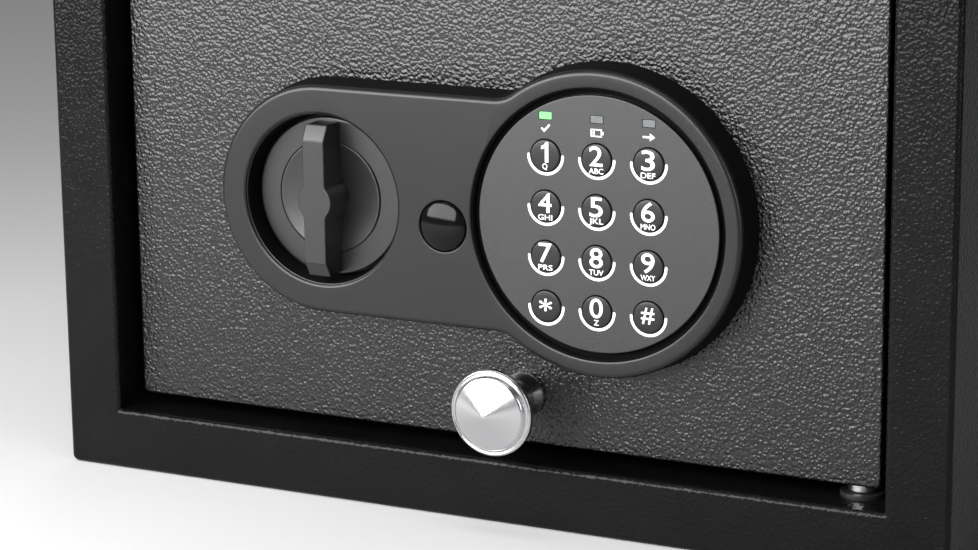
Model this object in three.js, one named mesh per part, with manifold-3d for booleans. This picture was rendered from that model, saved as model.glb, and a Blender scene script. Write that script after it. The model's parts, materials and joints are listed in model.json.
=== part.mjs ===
// A small electronic safe: a folded steel cabinet with a recessed door that swings on two
// pivot pins. The door carries a keypad, a turning handle that throws two bolts, a solenoid
// that blocks them, an emergency key lock behind a push-in cover, and a battery compartment.
//
// Millimetres. +X is to the right and -Y is the front. The origin is the centre of the
// underside. The safe is drawn shut and unlocked, with the bolts drawn back.
import * as THREE from 'three';
import { mergeVertices } from 'three/addons/utils/BufferGeometryUtils.js';
import Module from 'manifold-3d';

const wasm = await Module();
wasm.setup();

// ---- Driving dimensions -------------------------------------------------------------

const GAP = 0.3; // clearance between neighbours that touch
const BODY = { width: 310, depth: 200, height: 200, sheet: 2 };
const FRAME = { face: 20.5, returnDepth: 24 };
const DOOR = { setback: 9, thickness: 4, sideGap: 4, endGap: 4.4 };
const COVER = { left: -127, right: 114, low: 30, high: 170, depth: 40.7, sheet: 1.2 };
const PANEL = { height: 11.5, keypadRadius: 48, handleRadius: 37, fillet: 11, edge: 2.4 };
const KEYPAD = { radius: 40, recess: 1.5, groove: 2.2, plate: 2, pitchX: 17.1, pitchZ: 15.75 };
const KEY = { radius: 4.9, skirt: 5.9, proud: 0.6, travel: 0.8 };
const LAMP = { width: 4.1, height: 2.2, rise: 32.6 };
const HANDLE = { x: -53.5, z: 100, dial: 25.6, well: 27.5, wellDepth: 6.5, bar: 7.7, proud: 4.2 };
const SHAFT = { radius: 4, crank: 16, pin: 3, halfThrow: THREE.MathUtils.degToRad(30) };
const BOLT = { radius: 7, offset: 38, throw: 16, tip: -129.5, tenon: 3 };
const OVERRIDE = { x: -10, z: 95.3, plug: 7.8, barrel: 7.5, cylinder: 4.6 };
const SOLENOID = { x: -34, coil: 9, plunger: 3, stroke: 5, low: 140, high: 168 };
const PULL = { x: 12.4, z: 41, height: 29.8, face: 13.8, foot: 7.2 };
const CELL = { radius: 7.1, length: 50, pitch: 15, x: 63, count: 4 };
const RESET = { x: 104, z: 150, radius: 3.5, travel: 1.5 };
const HINGE = { x: 122.5, radius: 3 };

// ---- Planes that several pieces share -------------------------------------------------

const front = -BODY.depth / 2;
const doorFront = front + DOOR.setback;
const doorBack = doorFront + DOOR.thickness;
const panelFace = doorFront - PANEL.height;
const keypadFace = panelFace + KEYPAD.recess;
const dialFace = panelFace + HANDLE.wellDepth;
const coverFace = doorBack + GAP + COVER.depth;
const boltY = front + FRAME.returnDepth + BOLT.radius + 1.5;
const hingeY = doorBack + GAP + HINGE.radius;
const openingX = BODY.width / 2 - FRAME.face;
const openingLow = FRAME.face;
const openingHigh = BODY.height - FRAME.face;
const keypadX = HANDLE.x + 95.5;
const carriage = { front: -76, back: -73.5, left: -88, right: -11, low: 82, high: 127 };
const plungerY = (carriage.front + carriage.back) / 2;

// ---- Materials ----------------------------------------------------------------------

const finish = (color, roughness, metalness = 0) =>
  new THREE.MeshStandardMaterial({ color, roughness, metalness });
const MATERIAL = {
  blackPaint: finish(0x1b1b1c, 0.55, 0.2),
  blackPlastic: finish(0x141415, 0.5),
  keypadPlastic: finish(0x303133, 0.6),
  keyPlastic: finish(0x101011, 0.4),
  glossPlastic: finish(0x050505, 0.12),
  greyPlastic: finish(0x55575a, 0.5),
  chrome: finish(0xc9cacc, 0.2, 1),
  steel: finish(0x9a9da1, 0.35, 1),
  zinc: finish(0xb4b7ba, 0.4, 1),
  brass: finish(0xb08d4a, 0.35, 1),
  nylon: finish(0x1b1b1b, 0.6),
  felt: finish(0x26272a, 0.95),
  rubber: finish(0x8a8c8e, 0.8),
  board: finish(0x1d5a35, 0.5),
  copper: finish(0x9c5a2e, 0.4, 1),
  greenLamp: finish(0x6fd68b, 0.3),
  greyLamp: finish(0x6d6f70, 0.35),
  cellSleeve: finish(0x2c4f7c, 0.4),
  redPlastic: finish(0xa32222, 0.4),
};

// ---- Solids -------------------------------------------------------------------------

// The volume inside a closed mesh, negative when its faces point inwards.
function signedVolume(points, index) {
  const [a, b, c] = [new THREE.Vector3(), new THREE.Vector3(), new THREE.Vector3()];
  let volume = 0;
  for (let i = 0; i < index.length; i += 3) {
    a.fromArray(points, index[i] * 3);
    b.fromArray(points, index[i + 1] * 3);
    c.fromArray(points, index[i + 2] * 3);
    volume += a.dot(b.cross(c));
  }
  return volume / 6;
}

// Turns a closed three.js geometry into a solid that can be cut and joined.
function solid(geometry) {
  geometry.deleteAttribute('normal');
  geometry.deleteAttribute('uv');
  const merged = mergeVertices(geometry, 1e-4);
  const vertProperties = new Float32Array(merged.attributes.position.array);
  const triVerts = new Uint32Array(merged.index.array);
  if (signedVolume(vertProperties, triVerts) < 0) triVerts.reverse();
  return new wasm.Manifold(new wasm.Mesh({ numProp: 3, vertProperties, triVerts }));
}

// A box between two corners, given as ranges.
function block([x0, x1], [y0, y1], [z0, z1]) {
  const box = new THREE.BoxGeometry(x1 - x0, y1 - y0, z1 - z0);
  return solid(box.translate((x0 + x1) / 2, (y0 + y1) / 2, (z0 + z1) / 2));
}

// A turned solid. The profile is a list of [radius, height] from one end to the other;
// the heights run along the given axis, and the axis passes through the given point.
function turned(axis, [x, y, z], profile, sides = 16) {
  const points = profile.map(([radius, height]) => new THREE.Vector2(radius, height));
  const lathe = new THREE.LatheGeometry(points, sides);
  if (axis === 'x') lathe.rotateZ(-Math.PI / 2);
  if (axis === 'z') lathe.rotateX(Math.PI / 2);
  return solid(lathe.translate(x, y, z));
}

// A round bar of one radius along an axis.
function rod(axis, at, radius, [from, to], sides = 16) {
  return turned(axis, at, [[0, from], [radius, from], [radius, to], [0, to]], sides);
}

// A sleeve with a hole right through it.
function sleeve(axis, at, [inner, outer], [from, to], sides = 16) {
  const profile = [[inner, from], [outer, from], [outer, to], [inner, to], [inner, from]];
  return turned(axis, at, profile, sides);
}

// A hexagonal nut with a round hole.
function nut(axis, at, [hole, corner], thickness) {
  const body = rod(axis, at, corner, [0, thickness], 6);
  return cut(body, rod(axis, at, hole, [-1, thickness + 1]));
}

// A plate parallel to the front, cut to a shape drawn in X and Z.
function plate(shape, [from, to], curveSegments = 12) {
  const flat = new THREE.ExtrudeGeometry(shape, {
    depth: to - from, bevelEnabled: false, curveSegments,
  });
  return solid(flat.rotateX(Math.PI / 2).translate(0, to, 0));
}

// A bar along X whose section is a list of [y, z] points.
function barAlongX(section, [from, to]) {
  const shape = new THREE.Shape(section.map(([y, z]) => new THREE.Vector2(y, z)));
  const bar = new THREE.ExtrudeGeometry(shape, { depth: to - from, bevelEnabled: false });
  const yzxToXyz = new THREE.Matrix4().set(0, 0, 1, from, 1, 0, 0, 0, 0, 1, 0, 0, 0, 0, 0, 1);
  return solid(bar.applyMatrix4(yzxToXyz));
}

const join = (first, ...others) => others.reduce((whole, part) => whole.add(part), first);
const cut = (first, ...tools) => tools.reduce((rest, tool) => rest.subtract(tool), first);

// Puts a finished solid into the model under its name.
const safe = new THREE.Group();
safe.name = 'safe';
function piece(name, body, material) {
  const { vertProperties, triVerts } = body.getMesh();
  const geometry = new THREE.BufferGeometry();
  geometry.setAttribute('position', new THREE.BufferAttribute(vertProperties, 3));
  geometry.setIndex(new THREE.BufferAttribute(triVerts, 1));
  geometry.computeVertexNormals();
  const mesh = new THREE.Mesh(geometry, material);
  mesh.name = name;
  safe.add(mesh);
}

// ---- Cabinet ------------------------------------------------------------------------

// The wrapped shell: four walls, and a front frame folded in and then back.
function bodyShell() {
  const halfWidth = BODY.width / 2;
  const { sheet, height } = BODY;
  const back = -front;
  const outer = block([-halfWidth, halfWidth], [front, back], [0, height]);
  const room = block(
    [sheet - halfWidth, halfWidth - sheet], [front + sheet, back + 1], [sheet, height - sheet]);
  const mouth = block([-openingX, openingX], [front - 1, 0], [openingLow, openingHigh]);
  const lining = block(
    [-openingX - sheet, openingX + sheet], [front + sheet / 2, front + FRAME.returnDepth],
    [openingLow - sheet, openingHigh + sheet]);
  const bushHoles = [openingLow - sheet, openingHigh].map((low) =>
    rod('z', [HINGE.x, hingeY, low], 5.3, [-1, sheet + 1]));
  const anchorHoles = [-90, 90].map((x) => rod('z', [x, 20, 0], 5, [-1, sheet + 1]));
  return cut(join(cut(outer, room), lining), mouth, ...bushHoles, ...anchorHoles);
}

function rearPanel() {
  const halfWidth = BODY.width / 2 - BODY.sheet - GAP;
  const back = -front;
  const sheet = block([-halfWidth, halfWidth], [back - BODY.sheet, back],
    [BODY.sheet + GAP, BODY.height - BODY.sheet - GAP]);
  const anchorHoles = [-90, 90].map((x) =>
    rod('y', [x, back, BODY.height / 2], 5, [-BODY.sheet - 1, 1]));
  return cut(sheet, ...anchorHoles);
}

function floorMat() {
  const halfWidth = BODY.width / 2 - BODY.sheet - 1;
  const low = BODY.sheet + GAP;
  return block([-halfWidth, halfWidth], [front + FRAME.returnDepth + 1, -front - 2.5],
    [low, low + 3]);
}

// A black nylon bush with its flange on the door's side of the frame; up is 1 or -1.
function hingeBush(edge, up) {
  const [flange, tail] = [-1.3, BODY.sheet + 1];
  return turned('z', [HINGE.x, hingeY, edge], [
    [HINGE.radius + GAP, flange * up], [7, flange * up], [7, -GAP * up], [5, -GAP * up],
    [5, tail * up], [HINGE.radius + GAP, tail * up], [HINGE.radius + GAP, flange * up],
  ]);
}

// ---- Door ---------------------------------------------------------------------------

const door = {
  x: [DOOR.sideGap - openingX, openingX - DOOR.sideGap],
  z: [openingLow + DOOR.endGap, openingHigh - DOOR.endGap],
};

function doorPlate() {
  const hole = (x, z, radius) => rod('y', [x, 0, z], radius, [doorFront - 1, doorBack + 1]);
  return cut(
    block(door.x, [doorFront, doorBack], door.z),
    hole(HANDLE.x, HANDLE.z, 7.3),
    hole(OVERRIDE.x, OVERRIDE.z, OVERRIDE.barrel + GAP),
    hole(keypadX, HANDLE.z, 6),
    hole(PULL.x, PULL.z, 2.4));
}

const hingePin = ([low, high]) => rod('z', [HINGE.x, hingeY, 0], HINGE.radius, [low, high]);

// The lower pin has a shoulder that carries the door on the bush below it.
function lowerHingePin() {
  const seat = openingLow + 1.3 + GAP;
  const shoulder = rod('z', [HINGE.x, hingeY, 0], 4.5, [seat, door.z[0] - GAP]);
  return join(hingePin([15.5, 50]), shoulder);
}

const boltZ = { upper: HANDLE.z + BOLT.offset, lower: HANDLE.z - BOLT.offset };
const eachBolt = (build) => Object.values(boltZ).map(build);

// The pressed cover over the works, open towards the door.
function innerCover() {
  const { left, right, low, high, sheet } = COVER;
  const start = doorBack + GAP;
  const pan = block([left, right], [start, coverFace], [low, high]);
  const hollow = block([left + sheet, right - sheet], [start - 1, coverFace - sheet],
    [low + sheet, high - sheet]);
  const boltHoles = eachBolt((z) =>
    rod('x', [left, boltY, z], BOLT.radius + 0.5, [-1, sheet + 1]));
  const reach = CELL.pitch * CELL.count / 2;
  const window = block([CELL.x - reach, CELL.x + reach], [coverFace - 3, coverFace + 1],
    [HANDLE.z - 27, HANDLE.z + 27]);
  const buttonHole = rod('y', [RESET.x, coverFace, RESET.z], RESET.radius + 0.4, [-3, 1]);
  return cut(pan, hollow, ...boltHoles, window, buttonHole);
}

// ---- Lock panel on the front of the door ----------------------------------------------

// Two circles joined by a straight-sided neck, with rounded inner corners on the keypad side.
function panelOutline(inset) {
  const keypad = PANEL.keypadRadius - inset;
  const handle = PANEL.handleRadius - inset;
  const fillet = PANEL.fillet + inset;
  const filletZ = PANEL.handleRadius + PANEL.fillet;
  const filletX = -Math.sqrt((PANEL.keypadRadius + PANEL.fillet) ** 2 - filletZ ** 2);
  const turn = Math.atan2(filletZ, filletX);
  const quarter = Math.PI / 2;
  const z = HANDLE.z;
  const shape = new THREE.Shape();
  shape.absarc(keypadX, z, keypad, turn, -turn, true);
  shape.absarc(keypadX + filletX, z - filletZ, fillet, Math.PI - turn, quarter, false);
  shape.absarc(HANDLE.x, z, handle, -quarter, quarter, true);
  shape.absarc(keypadX + filletX, z + filletZ, fillet, -quarter, turn - Math.PI, false);
  return shape;
}

function lockPanel() {
  const back = doorFront - GAP;
  const body = join(
    plate(panelOutline(0), [panelFace + PANEL.edge / 2, back]),
    plate(panelOutline(PANEL.edge / 2), [panelFace, back - 1]));
  const well = rod('y', [HANDLE.x, 0, HANDLE.z], HANDLE.well, [panelFace - 1, back - 1.5], 28);
  const hubHole = rod('y', [HANDLE.x, 0, HANDLE.z], 6.5, [panelFace, back + 1]);
  const plugHole = rod('y', [OVERRIDE.x, 0, OVERRIDE.z], OVERRIDE.plug + 0.4,
    [panelFace - 1, back + 1]);
  const ledge = keypadFace + KEYPAD.plate + GAP;
  const recess = rod('y', [keypadX, 0, HANDLE.z], KEYPAD.radius + KEYPAD.groove,
    [panelFace - 1, ledge], 32);
  const cavity = rod('y', [keypadX, 0, HANDLE.z], KEYPAD.radius - 1.3, [ledge - 1, back + 1]);
  return cut(body, well, hubHole, plugHole, recess, cavity);
}

const KEY_NAMES = ['1', '2', '3', '4', '5', '6', '7', '8', '9', 'star', '0', 'hash'];

// The centre of a key, counted in rows of three from the top left.
function keyCentre(number) {
  const column = number % 3 - 1;
  const row = Math.floor(number / 3);
  return [keypadX + column * KEYPAD.pitchX, HANDLE.z + 20.3 - row * KEYPAD.pitchZ];
}

const LAMPS = [['ready', -1], ['battery', 0], ['proceed', 1]];

function lampBlock(column, border, [from, to]) {
  const x = keypadX + column * KEYPAD.pitchX;
  const z = HANDLE.z + LAMP.rise;
  const [halfWidth, halfHeight] = [LAMP.width / 2 + border, LAMP.height / 2 + border];
  return block([x - halfWidth, x + halfWidth], [from, to], [z - halfHeight, z + halfHeight]);
}

function keypadFaceplate() {
  const back = keypadFace + KEYPAD.plate;
  const disc = rod('y', [keypadX, 0, HANDLE.z], KEYPAD.radius, [keypadFace, back], 32);
  const keyHoles = KEY_NAMES.map((name, number) => {
    const [x, z] = keyCentre(number);
    return rod('y', [x, 0, z], KEY.radius + 0.4, [keypadFace - 1, back + 1], 12);
  });
  const windows = LAMPS.map(([, column]) =>
    lampBlock(column, GAP, [keypadFace - 1, back + 1]));
  return cut(disc, ...keyHoles, ...windows);
}

// A key cap with a skirt that keeps it behind the faceplate.
function keyCap(number) {
  const [x, z] = keyCentre(number);
  const skirtFront = keypadFace + KEYPAD.plate + GAP;
  const face = keypadFace - KEY.proud;
  return turned('y', [x, 0, z], [
    [0, face], [KEY.radius, face], [KEY.radius, skirtFront], [KEY.skirt, skirtFront],
    [KEY.skirt, skirtFront + 1], [0, skirtFront + 1],
  ], 12);
}

const membraneFront = keypadFace + KEYPAD.plate + GAP + 1 + KEY.travel + GAP;

function electronicsDisc(radius, [from, to]) {
  return rod('y', [keypadX, 0, HANDLE.z], radius, [from, to]);
}

// ---- Handle ---------------------------------------------------------------------------

const wellFloor = doorFront - GAP - 1.5;
const shaftFront = panelFace + 1.5;
const crankBack = doorBack + 7;

// The dial turns in its well; a chamfered grip bar stands across it with a round boss.
function handleKnob() {
  const at = [HANDLE.x, 0, HANDLE.z];
  const top = panelFace - HANDLE.proud;
  const dial = turned('y', at, [
    [0, wellFloor - GAP], [HANDLE.dial, wellFloor - GAP], [HANDLE.dial, dialFace + 0.6],
    [HANDLE.dial - 0.6, dialFace], [0, dialFace],
  ], 28);
  const end = [[top, 20], [top + 2.7, 24.4], [dialFace + 1, 24.4]];
  const section = [
    ...end.map(([y, reach]) => [y, HANDLE.z + reach]),
    ...end.toReversed().map(([y, reach]) => [y, HANDLE.z - reach]),
  ];
  const bar = barAlongX(section, [HANDLE.x - HANDLE.bar / 2, HANDLE.x + HANDLE.bar / 2]);
  const boss = rod('y', at, 6, [top, dialFace + 1], 16);
  const hub = rod('y', at, 6, [dialFace, doorFront - 2 * GAP]);
  const socket = rod('y', at, SHAFT.radius + GAP, [shaftFront - GAP, doorFront]);
  return cut(join(dial, bar, boss, hub), socket);
}

function handleShaft() {
  const at = [HANDLE.x, 0, HANDLE.z];
  const tappedHole = rod('y', at, 2, [crankBack - 8, crankBack + 1], 12);
  return cut(rod('y', at, SHAFT.radius, [shaftFront, crankBack]), tappedHole);
}

function handleBushing() {
  return turned('y', [HANDLE.x, 0, HANDLE.z], [
    [SHAFT.radius + GAP, doorFront + GAP], [7, doorFront + GAP], [7, doorBack + GAP],
    [9, doorBack + GAP], [9, doorBack + 2], [SHAFT.radius + GAP, doorBack + 2],
    [SHAFT.radius + GAP, doorFront + GAP],
  ]);
}

// The crank's pin at rest: half the throw short of straight up.
const crankPin = [
  HANDLE.x + SHAFT.crank * Math.sin(SHAFT.halfThrow),
  HANDLE.z + SHAFT.crank * Math.cos(SHAFT.halfThrow),
];

function handleCrank() {
  const [pinX, pinZ] = crankPin;
  const crankFront = crankBack - 4;
  const arm = block([-5, 5], [crankFront, crankBack], [0, SHAFT.crank])
    .rotate([0, THREE.MathUtils.radToDeg(SHAFT.halfThrow), 0])
    .translate([HANDLE.x, 0, HANDLE.z]);
  const hub = rod('y', [HANDLE.x, 0, HANDLE.z], 8, [crankFront, crankBack]);
  const end = rod('y', [pinX, 0, pinZ], 5.2, [crankFront, crankBack]);
  const pin = rod('y', [pinX, 0, pinZ], SHAFT.pin, [crankBack - 1, carriage.back + 0.9]);
  const bore = rod('y', [HANDLE.x, 0, HANDLE.z], SHAFT.radius + GAP,
    [crankFront - 1, crankBack + 1]);
  return cut(join(arm, hub, end, pin), bore);
}

// A round-headed screw along Y. The head stands on the given plane; into is 1 or -1.
function screw([x, z], plane, into, { head, headHeight, shank, length }) {
  return turned('y', [x, plane, z], [
    [0, -headHeight * into], [head * 0.7, -headHeight * into], [head, -headHeight * 0.4 * into],
    [head, 0], [shank, 0], [shank, length * into], [0, length * into],
  ], 16);
}

// ---- Bolt work ------------------------------------------------------------------------

// A slotted plate driven by the crank pin, with a flange at its left end for the bolts.
// The solenoid drops into one notch when the bolts are in and the other when they are out.
function boltCarriage() {
  const { left, right, low, high } = carriage;
  const edge = 16;
  const shape = new THREE.Shape([
    [left, boltZ.lower - 6], [left + 8, boltZ.lower - 6], [left + 8, low],
    [OVERRIDE.x - OVERRIDE.barrel - 10, low], [OVERRIDE.x - OVERRIDE.barrel - 10, high - edge - 3],
    [right, high - edge - 3], [right, high], [left + 8, high], [left + 8, boltZ.upper + 6],
    [left, boltZ.upper + 6],
  ].map(([x, z]) => new THREE.Vector2(x, z)));
  const body = plate(shape, [carriage.front, carriage.back]);
  const flange = block([left, left + 2.5], [carriage.front, boltY + 9],
    [boltZ.lower - 6, boltZ.upper + 6]);
  const slotHalf = SHAFT.pin + 0.45;
  const slot = block([crankPin[0] - slotHalf, crankPin[0] + slotHalf],
    [carriage.front - 1, carriage.back + 1],
    [crankPin[1] - SHAFT.pin - 0.6, HANDLE.z + SHAFT.crank + SHAFT.pin + 0.6]);
  const notches = [0, BOLT.throw].map((shift) => block(
    [SOLENOID.x + shift - 3.8, SOLENOID.x + shift + 3.8],
    [carriage.front - 1, carriage.back + 1], [high - 5.5, high + 1]));
  const tenonHoles = eachBolt((z) =>
    rod('x', [left, boltY, z], BOLT.tenon + GAP, [-1, 3.5], 16));
  return cut(join(body, flange), slot, ...notches, ...tenonHoles);
}

// A bolt with a rounded nose and a tenon that passes through the carriage flange.
function liveBolt(z) {
  const end = carriage.left - GAP;
  return turned('x', [0, boltY, z], [
    [0, BOLT.tip], [BOLT.radius - 1, BOLT.tip], [BOLT.radius, BOLT.tip + 1],
    [BOLT.radius, end], [BOLT.tenon, end], [BOLT.tenon, end + 8], [0, end + 8],
  ]);
}

const boltNut = (z) => nut('x', [carriage.left + 2.5 + GAP, boltY, z],
  [BOLT.tenon + GAP, 5.8], 4.2);

// A channel fixed to the door with two walls that guide both bolts.
function boltGuide() {
  const start = doorBack + GAP;
  const walls = { left: -124, right: -106 };
  const z = [boltZ.lower - 12, boltZ.upper + 12];
  const base = block([walls.left, walls.right], [start, start + 2], z);
  const uprights = [walls.left, walls.right - 2].map((x) =>
    block([x, x + 2], [start, boltY + 11], z));
  const holes = eachBolt((height) =>
    rod('x', [walls.left, boltY, height], BOLT.radius + 0.4, [-1, 20]));
  return cut(join(base, ...uprights), ...holes);
}

// ---- Solenoid -------------------------------------------------------------------------

function solenoidFrame() {
  const { x, low, high, plunger } = SOLENOID;
  const start = doorBack + GAP;
  const width = [x - 11, x + 11];
  const web = block(width, [start, start + 1.5], [low, high]);
  const ends = [low, high - 1.5].map((z) => block(width, [start, plungerY + 11], [z, z + 1.5]));
  return cut(join(web, ...ends), rod('z', [x, plungerY, low], plunger + 0.4, [-1, 3]));
}

function solenoidCoil() {
  const { x, low, high, coil, plunger } = SOLENOID;
  return sleeve('z', [x, plungerY, 0], [plunger + 0.4, coil], [low + 1.8, high - 1.8]);
}

const collar = { low: carriage.high + SOLENOID.stroke + GAP, radius: 5.5 };
collar.high = collar.low + 1.5;

function solenoidPlunger() {
  const { radius, low, high } = collar;
  return turned('z', [SOLENOID.x, plungerY, 0], [
    [0, carriage.high + 0.8], [SOLENOID.plunger, carriage.high + 0.8], [SOLENOID.plunger, low],
    [radius, low], [radius, high], [SOLENOID.plunger, high], [SOLENOID.plunger, 160], [0, 160],
  ]);
}

function plungerSpring() {
  return sleeve('z', [SOLENOID.x, plungerY, 0], [SOLENOID.plunger + GAP, 5],
    [collar.high + GAP, SOLENOID.low - GAP], 16);
}

// ---- Emergency key lock ----------------------------------------------------------------

const barrelEnd = carriage.back + 1.8;

// The domed cover that pushes into the panel over the keyway.
function keyholeCover() {
  return turned('y', [OVERRIDE.x, 0, OVERRIDE.z], [
    [0, panelFace - 2.2], [5, panelFace - 1.4], [OVERRIDE.plug, panelFace + 0.4],
    [OVERRIDE.plug, panelFace + 2.4], [6.4, panelFace + 2.4], [6.4, panelFace + 3], [0, panelFace + 3],
  ], 20);
}

function overrideBarrel() {
  return sleeve('y', [OVERRIDE.x, 0, OVERRIDE.z],
    [OVERRIDE.cylinder + GAP, OVERRIDE.barrel], [panelFace + 3.5, barrelEnd]);
}

function overrideNut() {
  return nut('y', [OVERRIDE.x, doorBack + GAP, OVERRIDE.z], [OVERRIDE.barrel + GAP, 11], 4);
}

function overrideCylinder() {
  const keyway = block([OVERRIDE.x - 0.9, OVERRIDE.x + 0.9],
    [panelFace, panelFace + 16], [OVERRIDE.z - 3.4, OVERRIDE.z + 3.4]);
  const tapped = rod('y', [OVERRIDE.x, 0, OVERRIDE.z], 1.5, [barrelEnd - 6, barrelEnd + 5], 12);
  const body = turned('y', [OVERRIDE.x, 0, OVERRIDE.z], [
    [0, panelFace + 3.8], [OVERRIDE.cylinder, panelFace + 3.8], [OVERRIDE.cylinder, barrelEnd],
    [3, barrelEnd], [3, barrelEnd + 2.4], [0, barrelEnd + 2.4],
  ]);
  return cut(body, keyway, tapped);
}

// The cam lifts the plunger by its collar when the key has turned a quarter turn.
// It is drawn a quarter turn before that, pointing down and to the left.
function overrideCam() {
  const [from, to] = [barrelEnd + GAP, barrelEnd + GAP + 2];
  const arm = block([-4, 4], [from, to], [0, 40.9])
    .rotate([0, -122, 0])
    .translate([OVERRIDE.x, 0, OVERRIDE.z]);
  const hub = rod('y', [OVERRIDE.x, 0, OVERRIDE.z], 6.5, [from, to]);
  const bore = rod('y', [OVERRIDE.x, 0, OVERRIDE.z], 3 + GAP, [from - 1, to + 1]);
  return cut(join(arm, hub), bore);
}

// ---- Pull knob --------------------------------------------------------------------------

// A turned knob: flared foot, narrow waist, and a wide head with a cone on its face.
function pullKnob() {
  const foot = doorFront - GAP;
  const tip = doorFront - PULL.height;
  const rim = PULL.face;
  const tapped = rod('y', [PULL.x, 0, PULL.z], 2, [foot - 14.2, foot + 1], 12);
  return cut(turned('y', [PULL.x, 0, PULL.z], [
    [0, foot], [PULL.foot, foot], [PULL.foot, foot - 1], [5, foot - 4.6], [4.6, foot - 11],
    [6.8, foot - 16.2], [rim - 0.9, foot - 21.6], [rim, foot - 22.7],
    [rim - 0.4, foot - 24], [rim - 1.5, foot - 24.4], [0, tip],
  ], 20), tapped);
}

// ---- Battery compartment ------------------------------------------------------------------

const cellY = coverFace - COVER.sheet - GAP - CELL.radius - 2.6;
const eachCell = (build) => Array.from({ length: CELL.count }, (_, number) =>
  build(CELL.x + (number - (CELL.count - 1) / 2) * CELL.pitch, number + 1));

function batteryHolder() {
  const reach = CELL.pitch * CELL.count / 2 + 1.5;
  const floor = cellY - CELL.radius - GAP;
  const top = coverFace - COVER.sheet - GAP;
  const [low, high] = [HANDLE.z - 28.5, HANDLE.z + 28.5];
  const tray = block([CELL.x - reach - 1.5, CELL.x + reach + 1.5], [floor - 1.5, top],
    [low - 1.5, high + 1.5]);
  const room = block([CELL.x - reach, CELL.x + reach], [floor, top + 1], [low, high]);
  return cut(tray, room);
}

// A cylindrical cell with its raised contact at the top.
function cell(x) {
  const low = HANDLE.z - CELL.length / 2;
  return turned('z', [x, cellY, low], [
    [0, 0], [CELL.radius, 0], [CELL.radius, CELL.length - 1.3], [2.7, CELL.length - 1.3],
    [2.7, CELL.length], [0, CELL.length],
  ], 12);
}

// A flat lid that slides over the cover, with three ribs for a thumb.
function batteryCover() {
  const reach = CELL.pitch * CELL.count / 2 + 3;
  const start = coverFace + GAP;
  const lid = block([CELL.x - reach, CELL.x + reach], [start, start + 2],
    [HANDLE.z - 30, HANDLE.z + 30]);
  const ribs = [-4, 0, 4].map((shift) => block(
    [CELL.x - reach + 8 + shift, CELL.x - reach + 9.2 + shift], [start + 1, start + 2.8],
    [HANDLE.z - 10, HANDLE.z + 10]));
  return join(lid, ...ribs);
}

// ---- Reset button ---------------------------------------------------------------------------

function resetButton() {
  const inside = coverFace - COVER.sheet - GAP;
  return turned('y', [RESET.x, 0, RESET.z], [
    [0, inside - 5], [2, inside - 5], [2, inside - 1.2], [5, inside - 1.2], [5, inside],
    [RESET.radius, inside], [RESET.radius, coverFace + 1.4], [RESET.radius - 0.4, coverFace + 1.8],
    [0, coverFace + 1.8],
  ]);
}

function resetSwitch() {
  const face = coverFace - COVER.sheet - GAP - 5 - RESET.travel - GAP;
  return block([RESET.x - 6, RESET.x + 6], [face - 6, face], [RESET.z - 6, RESET.z + 6]);
}

// ---- Assembly -------------------------------------------------------------------------------

piece('body_shell', bodyShell(), MATERIAL.blackPaint);
piece('rear_panel', rearPanel(), MATERIAL.blackPaint);
piece('floor_mat', floorMat(), MATERIAL.felt);
piece('hinge_bush_upper', hingeBush(openingHigh, 1), MATERIAL.nylon);
piece('hinge_bush_lower', hingeBush(openingLow, -1), MATERIAL.nylon);

piece('door_plate', doorPlate(), MATERIAL.blackPaint);
piece('hinge_pin_upper', hingePin([150, 184.5]), MATERIAL.steel);
piece('hinge_pin_lower', lowerHingePin(), MATERIAL.steel);
piece('inner_cover', innerCover(), MATERIAL.blackPaint);

piece('lock_panel', lockPanel(), MATERIAL.blackPlastic);
piece('keypad_faceplate', keypadFaceplate(), MATERIAL.keypadPlastic);
KEY_NAMES.forEach((name, number) => piece(`key_${name}`, keyCap(number), MATERIAL.keyPlastic));
for (const [name, column] of LAMPS) {
  const body = lampBlock(column, 0, [keypadFace, keypadFace + KEYPAD.plate]);
  piece(`lamp_${name}`, body, name === 'ready' ? MATERIAL.greenLamp : MATERIAL.greyLamp);
}
piece('keypad_membrane', electronicsDisc(38, [membraneFront, membraneFront + 0.8]),
  MATERIAL.rubber);
piece('circuit_board', electronicsDisc(37.5, [membraneFront + 1.1, membraneFront + 2.7]),
  MATERIAL.board);

piece('handle_knob', handleKnob(), MATERIAL.blackPlastic);
piece('handle_bushing', handleBushing(), MATERIAL.nylon);
piece('handle_shaft', handleShaft(), MATERIAL.steel);
piece('handle_crank', handleCrank(), MATERIAL.steel);
piece('crank_screw', screw([HANDLE.x, HANDLE.z], crankBack + GAP, -1,
  { head: 4.2, headHeight: 2.2, shank: 1.7, length: 7 }), MATERIAL.zinc);

piece('bolt_carriage', boltCarriage(), MATERIAL.steel);
for (const [name, z] of Object.entries(boltZ)) {
  piece(`live_bolt_${name}`, liveBolt(z), MATERIAL.chrome);
  piece(`bolt_nut_${name}`, boltNut(z), MATERIAL.zinc);
}
piece('bolt_guide', boltGuide(), MATERIAL.steel);

piece('solenoid_frame', solenoidFrame(), MATERIAL.steel);
piece('solenoid_coil', solenoidCoil(), MATERIAL.copper);
piece('solenoid_plunger', solenoidPlunger(), MATERIAL.chrome);
piece('plunger_spring', plungerSpring(), MATERIAL.steel);

piece('keyhole_cover', keyholeCover(), MATERIAL.glossPlastic);
piece('override_barrel', overrideBarrel(), MATERIAL.zinc);
piece('override_nut', overrideNut(), MATERIAL.zinc);
piece('override_cylinder', overrideCylinder(), MATERIAL.brass);
piece('override_cam', overrideCam(), MATERIAL.steel);
piece('cam_screw', screw([OVERRIDE.x, OVERRIDE.z], barrelEnd + 2.7, -1,
  { head: 4.5, headHeight: 2, shank: 1.2, length: 6 }), MATERIAL.zinc);

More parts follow.
